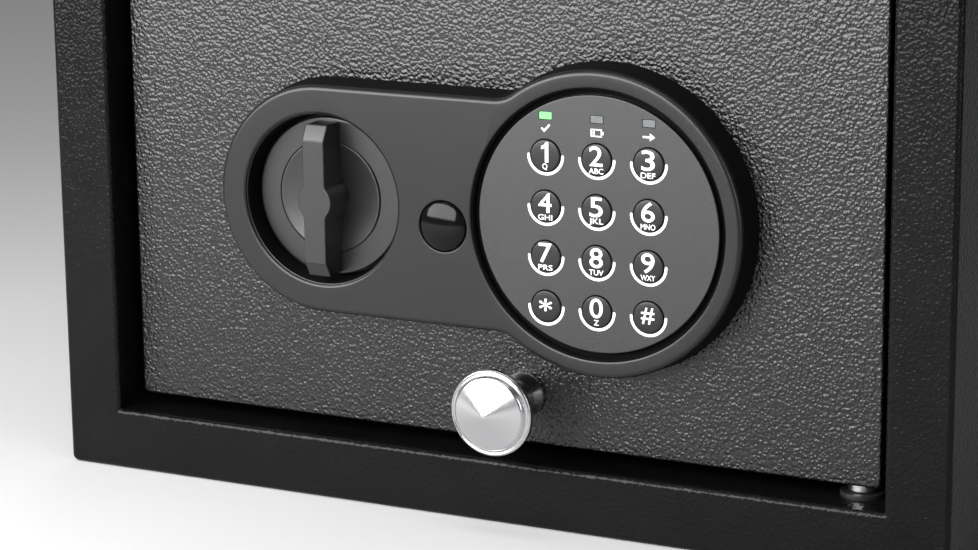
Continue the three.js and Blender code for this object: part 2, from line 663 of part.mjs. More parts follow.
piece('pull_knob', pullKnob(), MATERIAL.chrome);
piece('pull_knob_screw', screw([PULL.x, PULL.z], doorBack + GAP, -1,
  { head: 4.2, headHeight: 2.4, shank: 1.7, length: 12 }), MATERIAL.zinc);

piece('battery_holder', batteryHolder(), MATERIAL.blackPlastic);
eachCell((x, number) => piece(`battery_${number}`, cell(x), MATERIAL.cellSleeve));
piece('battery_cover', batteryCover(), MATERIAL.blackPlastic);
piece('reset_switch', resetSwitch(), MATERIAL.greyPlastic);
piece('reset_button', resetButton(), MATERIAL.redPlastic);

export default safe;
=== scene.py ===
"""Looks of the electronic safe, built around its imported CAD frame.

Metres throughout, in the frame of the CAD part: +X is right, -Y is the front, +Z is up.
Flat pieces are drawn as outlines in X and Z and given thickness along Y.
"""
import json
import math

import bmesh
import bpy
from mathutils import Matrix, Vector


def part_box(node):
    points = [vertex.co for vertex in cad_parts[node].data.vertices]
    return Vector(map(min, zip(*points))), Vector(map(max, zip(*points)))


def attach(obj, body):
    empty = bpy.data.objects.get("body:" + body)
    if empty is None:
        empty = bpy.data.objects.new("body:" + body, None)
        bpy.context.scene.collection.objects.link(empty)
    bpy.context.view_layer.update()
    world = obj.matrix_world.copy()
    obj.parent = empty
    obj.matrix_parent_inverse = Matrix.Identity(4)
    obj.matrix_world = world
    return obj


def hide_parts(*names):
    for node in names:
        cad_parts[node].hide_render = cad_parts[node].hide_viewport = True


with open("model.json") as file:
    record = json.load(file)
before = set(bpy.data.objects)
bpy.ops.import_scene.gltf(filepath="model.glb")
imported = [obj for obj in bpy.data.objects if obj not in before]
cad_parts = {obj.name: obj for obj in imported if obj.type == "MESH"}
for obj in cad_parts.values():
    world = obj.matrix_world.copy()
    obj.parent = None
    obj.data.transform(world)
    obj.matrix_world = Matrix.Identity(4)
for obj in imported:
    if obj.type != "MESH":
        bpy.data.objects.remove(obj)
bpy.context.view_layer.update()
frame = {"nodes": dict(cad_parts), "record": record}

MM = 0.001

# Each key: the end of its node's name, the sign printed on it, and the small letters.
KEYS = [("1", "1", "Q"), ("2", "2", "ABC"), ("3", "3", "DEF"),
        ("4", "4", "GHI"), ("5", "5", "JKL"), ("6", "6", "MNO"),
        ("7", "7", "PRS"), ("8", "8", "TUV"), ("9", "9", "WXY"),
        ("star", "*", ""), ("0", "0", "Z"), ("hash", "#", "")]
LAMPS = ["ready", "battery", "proceed"]


def middle(node):
    low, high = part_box(node)
    return (low + high) / 2


# ---- Places taken from the frame -----------------------------------------------------------------

BODY_LOW, BODY_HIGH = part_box("body_shell")
DOOR_LOW, DOOR_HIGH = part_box("door_plate")
PANEL_LOW, PANEL_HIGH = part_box("lock_panel")
PLATE_LOW, PLATE_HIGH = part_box("keypad_faceplate")
KNOB_LOW, KNOB_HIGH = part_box("handle_knob")
COVER_LOW, COVER_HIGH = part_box("inner_cover")
KEYPAD = middle("keypad_faceplate")
HANDLE = middle("handle_knob")
PLUG = middle("keyhole_cover")
PULL = middle("pull_knob")


# ---- Sizes that the frame doesn't give -----------------------------------------------------------

FRAME_FACE = 20.5 * MM
FRAME_RETURN = 24 * MM
SHEET = 2 * MM
ANCHOR_X = 90 * MM
ANCHOR_FLOOR_Y = 20 * MM
ANCHOR_RADIUS = 5 * MM
WELL_RADIUS = 27.5 * MM
PLUG_SOCKET_RADIUS = 8.2 * MM
KEYPAD_RECESS_RADIUS = 42.2 * MM
KEYPAD_PLATE_RADIUS = 40 * MM
INK_THICKNESS = 0.03 * MM


# ---- Materials -----------------------------------------------------------------------------------

def principled(name, color, roughness, **sockets):
    """A new material and its Principled shader, with constant values set on the shader."""
    material = bpy.data.materials.new(name)
    material.use_nodes = True
    shader = material.node_tree.nodes["Principled BSDF"]
    shader.inputs["Base Color"].default_value = (*color, 1)
    shader.inputs["Roughness"].default_value = roughness
    for socket, value in sockets.items():
        shader.inputs[socket.replace("_", " ")].default_value = value
    return material, shader


def add(material, kind, **values):
    """A node with its attributes or input sockets set by name."""
    node = material.node_tree.nodes.new(kind)
    for name, value in values.items():
        if hasattr(node, name):
            setattr(node, name, value)
        else:
            node.inputs[name.replace("_", " ")].default_value = value
    return node


def link(material, start, end):
    material.node_tree.links.new(start, end)


def noise(material, scale, detail=2.0, roughness=0.5, distortion=0.0, stretch=(1, 1, 1)):
    """A noise texture on the piece's own coordinates; scale is in waves per metre."""
    place = add(material, "ShaderNodeTexCoord")
    size = add(material, "ShaderNodeMapping", Scale=stretch)
    texture = add(material, "ShaderNodeTexNoise", Scale=scale, Detail=detail,
                  Roughness=roughness, Distortion=distortion)
    link(material, place.outputs["Object"], size.inputs["Vector"])
    link(material, size.outputs["Vector"], texture.inputs["Vector"])
    return texture.outputs["Fac"]


def spread(material, value, low, high):
    """Maps a 0 to 1 texture value onto a range."""
    node = add(material, "ShaderNodeMapRange", To_Min=low, To_Max=high)
    link(material, value, node.inputs["Value"])
    return node.outputs["Result"]


def tint(material, value, dark, light, low=0.3, high=0.7):
    """Mixes two colours by a texture value."""
    ramp = add(material, "ShaderNodeValToRGB")
    ramp.color_ramp.elements[0].position = low
    ramp.color_ramp.elements[0].color = (*dark, 1)
    ramp.color_ramp.elements[1].position = high
    ramp.color_ramp.elements[1].color = (*light, 1)
    link(material, value, ramp.inputs["Fac"])
    return ramp.outputs["Color"]


def bump(material, shader, height, distance, strength=1.0):
    """Raises the surface by a height texture, on top of any bump already there."""
    node = add(material, "ShaderNodeBump", Strength=strength, Distance=distance)
    link(material, height, node.inputs["Height"])
    normal = shader.inputs["Normal"]
    if normal.is_linked:
        link(material, normal.links[0].from_socket, node.inputs["Normal"])
    link(material, node.outputs["Normal"], normal)


def wrinkle_paint(name, specular, roughness, depth):
    """Black powder coat with a leathery wrinkle about 1.2 mm across."""
    material, shader = principled(name, (0.003, 0.003, 0.0033), roughness,
                                  Specular_IOR_Level=specular)
    place = add(material, "ShaderNodeTexCoord")
    warp = add(material, "ShaderNodeTexNoise", Scale=600.0, Detail=2.0)
    shift = add(material, "ShaderNodeVectorMath", operation="MULTIPLY_ADD")
    shift.inputs[1].default_value = (0.0012, 0.0012, 0.0012)
    cells = add(material, "ShaderNodeTexVoronoi", feature="SMOOTH_F1", Scale=900.0,
                Smoothness=0.6, Randomness=1.0)
    link(material, place.outputs["Object"], warp.inputs["Vector"])
    link(material, warp.outputs["Color"], shift.inputs[0])
    link(material, place.outputs["Object"], shift.inputs[2])
    link(material, shift.outputs["Vector"], cells.inputs["Vector"])
    dome = spread(material, cells.outputs["Distance"], 1.0, 0.0)
    bump(material, shader, dome, depth * MM)
    bump(material, shader, noise(material, 1500, 3), 0.05 * MM)
    link(material, spread(material, noise(material, 900, 2), roughness * 0.8, roughness * 1.25),
         shader.inputs["Roughness"])
    color = tint(material, noise(material, 60, 3),
                 (0.0024, 0.0024, 0.0027), (0.0038, 0.0038, 0.0042))
    link(material, color, shader.inputs["Base Color"])
    return material


def moulded(name, color, roughness, grain=0.03, grain_scale=5200, specular=0.35):
    """Moulded plastic with a fine spark-eroded grain and faint handling marks."""
    material, shader = principled(name, color, roughness, Specular_IOR_Level=specular)
    bump(material, shader, noise(material, grain_scale, 2), grain * MM)
    marks = noise(material, 45, 4, 0.6, 0.6)
    link(material, spread(material, marks, roughness - 0.008, roughness + 0.012),
         shader.inputs["Roughness"])
    darker = tuple(c * 0.85 for c in color)
    link(material, tint(material, marks, darker, color), shader.inputs["Base Color"])
    return material


def plated(name, color, roughness, stretch=(1, 1, 1), depth=0.004):
    """Plated or bare metal with fine machining marks along the unstretched axes."""
    material, shader = principled(name, color, roughness, Metallic=1.0)
    marks = noise(material, 900, 3, 0.6, 0, stretch)
    bump(material, shader, marks, depth * MM)
    link(material, spread(material, marks, roughness * 0.75, roughness * 1.35),
         shader.inputs["Roughness"])
    cloud = noise(material, 70, 3)
    darker = tuple(c * 0.88 for c in color)
    link(material, tint(material, cloud, darker, color), shader.inputs["Base Color"])
    return material


def felt():
    """Pressed felt: a fibrous, matt, slightly mottled mat."""
    material, shader = principled("felt", (0.02, 0.021, 0.024), 0.95, Sheen_Weight=0.08)
    fibres = noise(material, 900, 6, 0.75, 1.2)
    bump(material, shader, fibres, 0.5 * MM)
    color = tint(material, fibres, (0.012, 0.013, 0.015), (0.04, 0.041, 0.046))
    link(material, color, shader.inputs["Base Color"])
    return material


def lens(name, color, glow):
    """A moulded lamp lens; glow is its emission strength."""
    material, shader = principled(name, color, 0.3, Emission_Strength=glow)
    shader.inputs["Emission Color"].default_value = (*color, 1)
    ribs = noise(material, 700, 1, 0.5, 0, (6, 1, 1))
    bump(material, shader, ribs, 0.05 * MM)
    darker = tuple(c * 0.7 for c in color)
    link(material, tint(material, ribs, darker, color), shader.inputs["Base Color"])
    return material


def white_ink():
    """Screen-printed ink, a little uneven."""
    material, shader = principled("white_ink", (0.86, 0.86, 0.85), 0.55)
    cover = noise(material, 2600, 3)
    link(material, tint(material, cover, (0.72, 0.72, 0.71), (0.9, 0.9, 0.89)),
         shader.inputs["Base Color"])
    bump(material, shader, cover, 0.01 * MM)
    return material


def floor_material():
    material, shader = principled("pale_floor", (0.5, 0.5, 0.5), 0.7)
    link(material, tint(material, noise(material, 3, 2), (0.49, 0.49, 0.49), (0.52, 0.52, 0.52)),
         shader.inputs["Base Color"])
    return material


DOOR_PAINT = wrinkle_paint("door_paint", 0.48, 0.28, 0.30)
FRAME_PAINT = wrinkle_paint("frame_paint", 0.13, 0.22, 0.17)
PANEL_PLASTIC = moulded("panel_plastic", (0.007, 0.007, 0.0075), 0.32)
KEYPAD_PLASTIC = moulded("keypad_plastic", (0.014, 0.0145, 0.0155), 0.40, 0.05, 3200, 0.54)
KEY_PLASTIC = moulded("key_plastic", (0.008, 0.008, 0.0085), 0.34)
GLOSS = moulded("gloss_plastic", (0.003, 0.003, 0.0035), 0.1, 0.001, 900, 0.16)
HANDLE_PLASTIC = moulded("handle_plastic", (0.009, 0.009, 0.0095), 0.32, specular=0.55)
CHROME = plated("satin_chrome", (0.54, 0.54, 0.55), 0.21, (1, 4, 1), 0.002)
# Near-black, barely glossy plastic: painted shade, laid as a skirt and linings where the panel's
# side walls and recesses fall in shadow.
SHADE_BLACK = moulded("painted_shade_black", (0.002, 0.002, 0.002), 0.9, specular=0.1)
INK = white_ink()

SLOT_MATERIALS = {
    "black_paint": FRAME_PAINT,
    "black_plastic": PANEL_PLASTIC,
    "keypad_plastic": KEYPAD_PLASTIC,
    "key_plastic": KEY_PLASTIC,
    "gloss_plastic": GLOSS,
    "grey_plastic": moulded("grey_plastic", (0.3, 0.31, 0.32), 0.5),
    "chrome": CHROME,
    "steel": plated("zinc_sheet", (0.56, 0.57, 0.59), 0.34, (8, 1, 1), 0.004),
    "zinc": plated("bright_zinc", (0.64, 0.65, 0.67), 0.28),
    "brass": plated("brass", (0.62, 0.46, 0.2), 0.3, (1, 6, 1)),
    "nylon": moulded("black_nylon", (0.012, 0.012, 0.012), 0.5),
    "felt": felt(),
    "silicone": moulded("silicone", (0.35, 0.36, 0.37), 0.7),
    "board": moulded("solder_mask", (0.02, 0.14, 0.06), 0.4),
    "copper_coil": moulded("enamelled_winding", (0.4, 0.14, 0.05), 0.35),
    "green_lamp": lens("green_lens", (0.16, 0.60, 0.18), 0.35),
    "grey_lamp": lens("grey_lens", (0.13, 0.135, 0.14), 0.0),
    "cell_sleeve": moulded("cell_sleeve", (0.03, 0.08, 0.2), 0.3),
    "red_plastic": moulded("red_plastic", (0.5, 0.02, 0.02), 0.3),
}
NODE_SLOT = {part["node"]: part["material_slot"] for part in frame["record"]["subparts"]}


# ---- Outlines: lists of (x, z), all of one length so that loops can be joined --------------------

def arc(cx, cz, radius, start, end, steps):
    """Points on an arc; angles in degrees, both ends included."""
    angles = [math.radians(start + (end - start) * i / steps) for i in range(steps + 1)]
    return [(cx + radius * math.cos(a), cz + radius * math.sin(a)) for a in angles]


def circle(cx, cz, radius, steps=96):
    return arc(cx, cz, radius, 0, 360, steps)[:-1]


def rounded_box(x0, x1, z0, z1, radius, steps=6):
    corners = [(x1 - radius, z1 - radius, 0), (x0 + radius, z1 - radius, 90),
               (x0 + radius, z0 + radius, 180), (x1 - radius, z0 + radius, 270)]
    return [point for cx, cz, start in corners
            for point in arc(cx, cz, radius, start, start + 90, steps)]


def panel_outline(inset):
    """Keypad circle and handle circle joined by a neck, with rounded inner corners."""
    keypad = PANEL_HIGH.x - KEYPAD.x
    handle = HANDLE.x - PANEL_LOW.x
    fillet = 11 * MM
    fillet_z = handle + fillet
    fillet_x = -math.sqrt((keypad + fillet) ** 2 - fillet_z ** 2)
    turn = math.degrees(math.atan2(fillet_z, fillet_x))
    x, z = KEYPAD.x + fillet_x, KEYPAD.z
    return (arc(KEYPAD.x, z, keypad - inset, -turn, turn, 120)[:-1]
            + arc(x, z + fillet_z, fillet + inset, turn - 180, -90, 16)
            + arc(HANDLE.x, z, handle - inset, 90, 270, 80)
            + arc(x, z - fillet_z, fillet + inset, 90, 180 - turn, 16)[:-1])


def edge(face, side, radius, steps=5):
    """(y, inset) steps from the straight side round an edge to the face.

    side is +1 when the side lies behind the face (towards +Y) and -1 when it lies in front.
    """
    turns = [math.pi / 2 * i / steps for i in range(steps + 1)]
    return [(face + side * radius * (1 - math.sin(t)), radius * (1 - math.cos(t))) for t in turns]


# ---- Mesh building -------------------------------------------------------------------------------

def settle(piece):
    """Applies the modifiers of a piece, with normals that keep its large faces flat."""
    weights = piece.modifiers.new("weights", "WEIGHTED_NORMAL")
    weights.keep_sharp = True
    result = bpy.data.meshes.new_from_object(
        piece.evaluated_get(bpy.context.evaluated_depsgraph_get()))
    piece.modifiers.clear()
    old, piece.data = piece.data, result
    bpy.data.meshes.remove(old)


def finish_piece(name, mesh_data, material, body, node=(), sharp=32):
    """Turns a bmesh into a smooth-shaded piece that rides on a body."""
    bmesh.ops.remove_doubles(mesh_data, verts=mesh_data.verts, dist=1e-7)
    bmesh.ops.recalc_face_normals(mesh_data, faces=mesh_data.faces)
    mesh = bpy.data.meshes.new(name)
    mesh_data.to_mesh(mesh)
    mesh_data.free()
    mesh.shade_smooth()
    mesh.set_sharp_from_angle(angle=math.radians(sharp))
    piece = bpy.data.objects.new(name, mesh)
    bpy.context.scene.collection.objects.link(piece)
    mesh.materials.append(material)
    settle(piece)
    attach(piece, body)
    nodes = [node] if isinstance(node, str) else list(node)
    if nodes:
        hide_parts(*nodes)
    return piece


def add_loop(mesh_data, points, y):
    return [mesh_data.verts.new((x, y, z)) for x, z in points]


def bridge(mesh_data, first, second):
    """Quads between two loops of the same length."""
    count = len(first)
    for i in range(count):
        j = (i + 1) % count
        mesh_data.faces.new((first[i], first[j], second[j], second[i]))


def fill(mesh_data, *loops):
    """A flat face inside the first loop and outside the others."""
    edges = []
    for loop in loops:
        for i, vert in enumerate(loop):
            other = loop[(i + 1) % len(loop)]
            found = mesh_data.edges.get((vert, other))
            edges.append(found or mesh_data.edges.new((vert, other)))
    bmesh.ops.triangle_fill(mesh_data, use_beauty=True, use_dissolve=False, edges=edges)


def slab(outline, layers, holes=()):
    """A flat piece. outline(inset) gives its shape, and layers are (y, inset) from back to front.

    Each hole is (outline, layers from front to back, goes_through).
    """
    mesh_data = bmesh.new()
    outer = [add_loop(mesh_data, outline(inset), y) for y, inset in layers]
    for first, second in zip(outer, outer[1:]):
        bridge(mesh_data, first, second)
    front, back = [outer[-1]], [outer[0]]
    for hole, steps, goes_through in holes:
        rings = [add_loop(mesh_data, hole(inset), y) for y, inset in steps]
        for first, second in zip(rings, rings[1:]):
            bridge(mesh_data, second, first)
        front.append(rings[0])
        if goes_through:
            back.append(rings[-1])
        else:
            fill(mesh_data, rings[-1])
    fill(mesh_data, *front)
    fill(mesh_data, *back)
    return mesh_data


def plain_hole(x, z, radius, front, back, lip=0.25 * MM, steps=48):
    """A round hole with softened edges, for slab()."""
    def ring(inset):
        return circle(x, z, radius - inset, steps)
    layers = [(front, -lip), (front + lip * 0.3, -lip * 0.3), (front + lip, 0), (back - lip, 0),
              (back, -lip)]
    return ring, layers, True


def soften(points, steps=5):
    """A turned profile from (radius, height, corner radius) points, with its corners rounded."""
    flat = [Vector(point[:2]) for point in points]
    result = []
    for i, (here, point) in enumerate(zip(flat, points)):
        corner = point[2] if len(point) > 2 else 0
        if not corner or i in (0, len(points) - 1):
            result.append(here)
            continue
        before, after = (flat[i - 1] - here), (flat[i + 1] - here)
        half = before.angle(after) / 2
        reach = min(corner / math.tan(half), before.length * 0.49, after.length * 0.49)
        start, end = here + before.normalized() * reach, here + after.normalized() * reach
        for k in range(steps + 1):
            t = k / steps
            result.append(start * (1 - t) ** 2 + here * 2 * t * (1 - t) + end * t ** 2)
    return result


def turned(axis, centre, profile, steps=96):
    """A surface of revolution. The profile runs from one end to the other, in millimetres."""
    mesh_data = bmesh.new()
    points = soften([tuple(v * MM for v in point) for point in profile])
    rings = []
    for radius, height in points:
        if radius < 1e-8:
            rings.append([mesh_data.verts.new((0, 0, height))])
        else:
            rings.append([mesh_data.verts.new((x, z, height))
                          for x, z in circle(0, 0, radius, steps)])
    for first, second in zip(rings, rings[1:]):
        for i in range(steps):
            j = (i + 1) % steps
            face = [first[i % len(first)], first[j % len(first)],
                    second[j % len(second)], second[i % len(second)]]
            unique = list(dict.fromkeys(face))
            if len(unique) > 2:
                mesh_data.faces.new(unique)
    turns = {"x": Matrix.Rotation(math.pi / 2, 4, "Y"), "y": Matrix.Rotation(-math.pi / 2, 4, "X"),
             "z": Matrix.Identity(4)}
    mesh_data.transform(Matrix.Translation(centre) @ turns[axis])
    return mesh_data


# ---- Cabinet -------------------------------------------------------------------------------------

def cabinet_shell():
    """The folded shell, drawn as one section carried round the rectangle of the front."""
    front, back = BODY_LOW.y, BODY_HIGH.y
    fold, lip = 1.8 * MM, 1.6 * MM
    outer_corner = 2.4 * MM
    hem = 0.4 * MM
    section = [(back, hem), (back - hem, 0)]
    section += [(y, inset) for y, inset in edge(front, 1, fold)]
    section += [(y, FRAME_FACE - inset) for y, inset in reversed(edge(front, 1, lip))]
    rear = front + FRAME_RETURN
    section += [(rear - hem, FRAME_FACE), (rear, FRAME_FACE - hem),
                (rear, FRAME_FACE - SHEET + hem), (rear - hem, FRAME_FACE - SHEET),
                (front + SHEET, FRAME_FACE - SHEET), (front + SHEET, SHEET),
                (back - hem, SHEET), (back, SHEET - hem)]
    mesh_data = bmesh.new()
    loops = []
    for y, inset in section:
        radius = max(outer_corner - inset, 0.5 * MM)
        points = rounded_box(BODY_LOW.x + inset, BODY_HIGH.x - inset,
                             BODY_LOW.z + inset, BODY_HIGH.z - inset, radius)
        loops.append(add_loop(mesh_data, points, y))
    for first, second in zip(loops, loops[1:] + loops[:1]):
        bridge(mesh_data, first, second)
    shell = finish_piece("cabinet_shell", mesh_data, FRAME_PAINT, "cabinet", "body_shell")
    cut_by(shell, anchor_cuts() + bush_cuts())
    return shell


def anchor_cuts():
    """Cutters for the two anchor holes in the floor."""
    radius = ANCHOR_RADIUS / MM
    profile = [(0, -1), (radius, -1), (radius, 3), (0, 3)]
    return [turned("z", Vector((x, ANCHOR_FLOOR_Y, 0)), profile, 48)
            for x in (-ANCHOR_X, ANCHOR_X)]


def bush_cuts():
    """Cutters for the two bush holes, through the return of the frame below and above."""
    low = (FRAME_FACE - SHEET) / MM - 1
    high = FRAME_FACE / MM + 1
    radius = 5.1
    profile = [(0, low), (radius, low), (radius, high), (0, high)]
    upside_down = [(across, -height) for across, height in profile]
    lower, upper = middle("hinge_bush_lower"), middle("hinge_bush_upper")
    return [turned("z", Vector((lower.x, lower.y, 0)), profile, 48),
            turned("z", Vector((upper.x, upper.y, BODY_HIGH.z)), upside_down, 48)]


def rear_plate():
    """The back of the cabinet, with its two anchor holes."""
    low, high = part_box("rear_panel")

    def outline(inset):
        return rounded_box(low.x + inset, high.x - inset, low.z + inset, high.z - inset, 1 * MM)
    holes = [plain_hole(x, (low.z + high.z) / 2, ANCHOR_RADIUS, low.y, high.y)
             for x in (-ANCHOR_X, ANCHOR_X)]
    burr = 0.3 * MM
    layers = [(high.y, burr), (high.y - burr, 0)] + edge(low.y, 1, burr)
    mesh_data = slab(outline, layers, holes)
    return finish_piece("rear_plate", mesh_data, FRAME_PAINT, "cabinet", "rear_panel")


# ---- Door ----------------------------------------------------------------------------------------

def door_skin():
    """The door plate, with holes for the shaft, the lock barrel, the ribbon and the knob screw."""
    low, high = DOOR_LOW, DOOR_HIGH

    def outline(inset):
        return rounded_box(low.x + inset, high.x - inset, low.z + inset, high.z - inset, 1.6 * MM)
    layers = [(high.y, 0.5 * MM), (high.y - 0.5 * MM, 0)] + edge(low.y, 1, 0.9 * MM)
    holes = [plain_hole(centre.x, centre.z, radius * MM, low.y, high.y)
             for centre, radius in ((HANDLE, 7.3), (PLUG, 7.8), (KEYPAD, 6), (PULL, 2.4))]
    return finish_piece("door_skin", slab(outline, layers, holes), DOOR_PAINT, "door",
                        "door_plate")


def panel_housing():
    """The plastic housing, with the handle's well, the plug's socket and the keypad's recess."""
    face, back = PANEL_LOW.y, PANEL_HIGH.y
    inner = 0.25 * MM
    layers = [(back, inner)] + [(y, inset + inner) for y, inset in edge(face, 1, 1.7 * MM, 8)]

    def well(inset):
        return circle(HANDLE.x, HANDLE.z, WELL_RADIUS - inset, 128)
    rim = [(face, -1.2 * MM), (face + 0.12 * MM, -0.75 * MM), (face + 0.45 * MM, -0.35 * MM),
           (face + 1.0 * MM, -0.2 * MM), (face + 1.1 * MM, 0), (back - 1.5 * MM, 0),
           (back - 1.5 * MM, 21 * MM), (back, 21 * MM)]

    def socket(inset):
        return circle(PLUG.x, PLUG.z, PLUG_SOCKET_RADIUS - inset, 64)
    socket_rim = [(face, -0.5 * MM), (face + 0.15 * MM, -0.15 * MM), (face + 0.5 * MM, 0),
                  (back, 0)]

    def recess(inset):
        return circle(KEYPAD.x, KEYPAD.z, KEYPAD_RECESS_RADIUS - inset, 128)
    ledge = PLATE_HIGH.y + 0.3 * MM
    recess_rim = [(face, -0.9 * MM), (face + 0.25 * MM, -0.35 * MM), (face + 0.9 * MM, 0),
                  (ledge, 0), (ledge, 3.5 * MM), (back, 3.5 * MM)]
    mesh_data = slab(panel_outline, layers, [
        (well, rim, True), (socket, socket_rim, True), (recess, recess_rim, True)])
    return finish_piece("panel_housing", mesh_data, PANEL_PLASTIC, "door", "lock_panel")


def keypad_plate():
    """The round plate, with a hole for each key and a window for each lamp."""
    face, back = PLATE_LOW.y, PLATE_HIGH.y

    def outline(inset):
        return circle(KEYPAD.x, KEYPAD.z, KEYPAD_PLATE_RADIUS - inset, 128)
    holes = []
    for name, _, _ in KEYS:
        key = middle(f"key_{name}")
        holes.append(plain_hole(key.x, key.z, 5.15 * MM, face, back, 0.2 * MM))
    for name in LAMPS:
        low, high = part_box(f"lamp_{name}")

        def window(inset, low=low, high=high):
            grow = 0.12 * MM - inset
            return rounded_box(low.x - grow, high.x + grow, low.z - grow, high.z + grow, 0.3 * MM)
        holes.append((window, [(face, -0.1 * MM), (face + 0.1 * MM, 0), (back, 0)], True))
    layers = [(back, 0.3 * MM), (back - 0.3 * MM, 0)] + edge(face, 1, 0.35 * MM)
    return finish_piece("keypad_plate", slab(outline, layers, holes), KEYPAD_PLASTIC, "door",
                        "keypad_faceplate")


def lamp_lens(name):
    """The lens of one lamp, just below the face of the keypad."""
    low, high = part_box(f"lamp_{name}")

    def outline(inset):
        return rounded_box(low.x + inset, high.x - inset, low.z + inset, high.z - inset, 0.25 * MM)
    layers = [(high.y, 0)] + edge(low.y + 0.05 * MM, 1, 0.12 * MM)
    material = SLOT_MATERIALS[NODE_SLOT[f"lamp_{name}"]]
    return finish_piece(f"lens_{name}", slab(outline, layers), material, "door", f"lamp_{name}")


# ---- Keys ----------------------------------------------------------------------------------------

def key_cap(name):
    """A key: a slightly domed cap on a flange that stays behind the plate."""
    low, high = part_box(f"key_{name}")
    centre = Vector(((low.x + high.x) / 2, 0, (low.z + high.z) / 2))
    face, end = low.y / MM, high.y / MM
    profile = [(0, face), (3.4, face + 0.06), (4.9, face + 0.22, 0.45), (4.9, end - 1),
               (5.9, end - 1, 0.15), (5.9, end, 0.15), (0, end)]
    return finish_piece(f"cap_{name}", turned("y", centre, profile, 64), KEY_PLASTIC,
                        f"button_{name}", f"key_{name}")


def glyphs(text, size, width, x, z, y, weight):
    """Flat raised characters, centred at x and z and standing on the plane y."""
    curve = bpy.data.curves.new("glyphs", "FONT")
    curve.body = text
    curve.size = size
    curve.align_x = "CENTER"
    curve.offset = weight
    curve.resolution_u = 4
    curve.extrude = 0.02 * MM
    holder = bpy.data.objects.new("glyphs", curve)
    bpy.context.scene.collection.objects.link(holder)
    shape = bpy.data.meshes.new_from_object(
        holder.evaluated_get(bpy.context.evaluated_depsgraph_get()))
    mesh_data = bmesh.new()
    mesh_data.from_mesh(shape)
    bpy.data.objects.remove(holder)
    bpy.data.curves.remove(curve)
    bpy.data.meshes.remove(shape)
    heights = [v.co.y for v in mesh_data.verts]
    widths = [v.co.x for v in mesh_data.verts]
    rise = -(min(heights) + max(heights)) / 2
    shift = -(min(widths) + max(widths)) / 2
    stretch = width / (max(widths) - min(widths))
    mesh_data.transform(Matrix.Translation((x, y, z)) @ Matrix.Rotation(math.pi / 2, 4, "X")
                        @ Matrix.Diagonal((stretch, 1, 1, 1))
                        @ Matrix.Translation((shift, rise, 0)))
    return mesh_data


def merge(*parts):
    """One bmesh out of several."""
    whole = bmesh.new()
    for part in parts:
        mesh = bpy.data.meshes.new("part")
        part.to_mesh(mesh)
        part.free()
        whole.from_mesh(mesh)
        bpy.data.meshes.remove(mesh)
    return whole


def printed(points, y):
    """A flat patch of ink of the given outline, standing on the plane y."""
    return slab(lambda inset: points, [(y + INK_THICKNESS, 0), (y, 0)])


def figure_one(x, z, height, y):
    """A bold 1 with a short flag, centred at x and z."""
    shape = [(0.06, -0.5), (0.24, -0.5), (0.24, 0.5), (0.11, 0.5), (0.03, 0.37), (-0.14, 0.29),
             (-0.14, 0.13), (0.06, 0.2)]
    points = [(x + u * height - 0.05 * height, z + v * height) for u, v in shape]
    return printed(points, y)


def key_print(name, sign, letters):
    """The digit and the small letters on a key."""
    key = middle(f"key_{name}")
    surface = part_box(f"key_{name}")[0].y - 0.01 * MM
    z = key.z + (1.15 if letters else 0.5) * MM
    if sign == "1":
        parts = [figure_one(key.x, z, 6.3 * MM, surface)]
    else:
        size = 7.2 if sign == "#" else 8.7
        parts = [glyphs(sign, size * MM, 4.4 * MM, key.x, z, surface, 0.06 * MM)]
    if letters:
        width = 1.7 if len(letters) == 1 else 4.8
        parts.append(glyphs(letters, 2.4 * MM, width * MM, key.x, key.z - 3.4 * MM,
                            surface + 0.05 * MM, 0.02 * MM))
    return finish_piece(f"print_{name}", merge(*parts), INK, f"button_{name}")


def band(cx, cz, inner, outer, start, end, y, steps=36):
    """A flat printed arc with round ends."""
    width = (outer - inner) / 2
    centre = (inner + outer) / 2
    points = arc(cx, cz, outer, start, end, steps)
    tip = arc(cx, cz, centre, end, end, 1)[0]
    points += arc(*tip, width, end, end + 180, 8)[1:-1]
    points += arc(cx, cz, inner, end, start, steps)
    tail = arc(cx, cz, centre, start, start, 1)[0]
    points += arc(*tail, width, start + 180, start + 360, 8)[1:-1]
    return printed(points, y)


def lamp_marks(y):
    """A tick, a cell and an arrow, one under each lamp. Shapes are in millimetres."""
    z = middle("lamp_ready").z - 4.1 * MM
    tick = [(-1.5, 0.1), (-0.4, -1.0), (1.6, 1.2), (1.2, 1.6), (-0.45, -0.2), (-1.1, 0.5)]
    cell_bars = [(-2, 1.7, 0.85, 1.2), (-2, 1.7, -1.2, -0.85), (-2, -1.65, -0.9, 0.9),
                 (1.35, 1.7, -0.9, 0.9), (1.7, 2.2, -0.5, 0.5), (-1.3, -0.7, -0.6, 0.6)]
    arrow = [(-2, -0.3), (0.3, -0.3), (0.3, -1.2), (2, 0), (0.3, 1.2), (0.3, 0.3), (-2, 0.3)]
    x = middle("lamp_ready").x
    marks = [printed([(x + u * MM, z + v * MM) for u, v in tick], y)]
    x = middle("lamp_battery").x
    for x0, x1, z0, z1 in cell_bars:
        bar = rounded_box(x + x0 * MM, x + x1 * MM, z + z0 * MM, z + z1 * MM, 0.05 * MM, 2)
        marks.append(printed(bar, y))
    x = middle("lamp_proceed").x
    marks.append(printed([(x + u * MM, z + v * MM) for u, v in arrow], y))
    return marks


def faceplate_print():
    """The arcs under the keys and the marks under the lamps."""
    y = PLATE_LOW.y - 0.02 * MM
    parts = []
    for name, _, _ in KEYS:
        key = middle(f"key_{name}")
        parts.append(band(key.x, key.z, 5.3 * MM, 6.15 * MM, 180, 360, y))
    parts += lamp_marks(y)
    return finish_piece("faceplate_print", merge(*parts), INK, "door")


# ---- Handle --------------------------------------------------------------------------------------

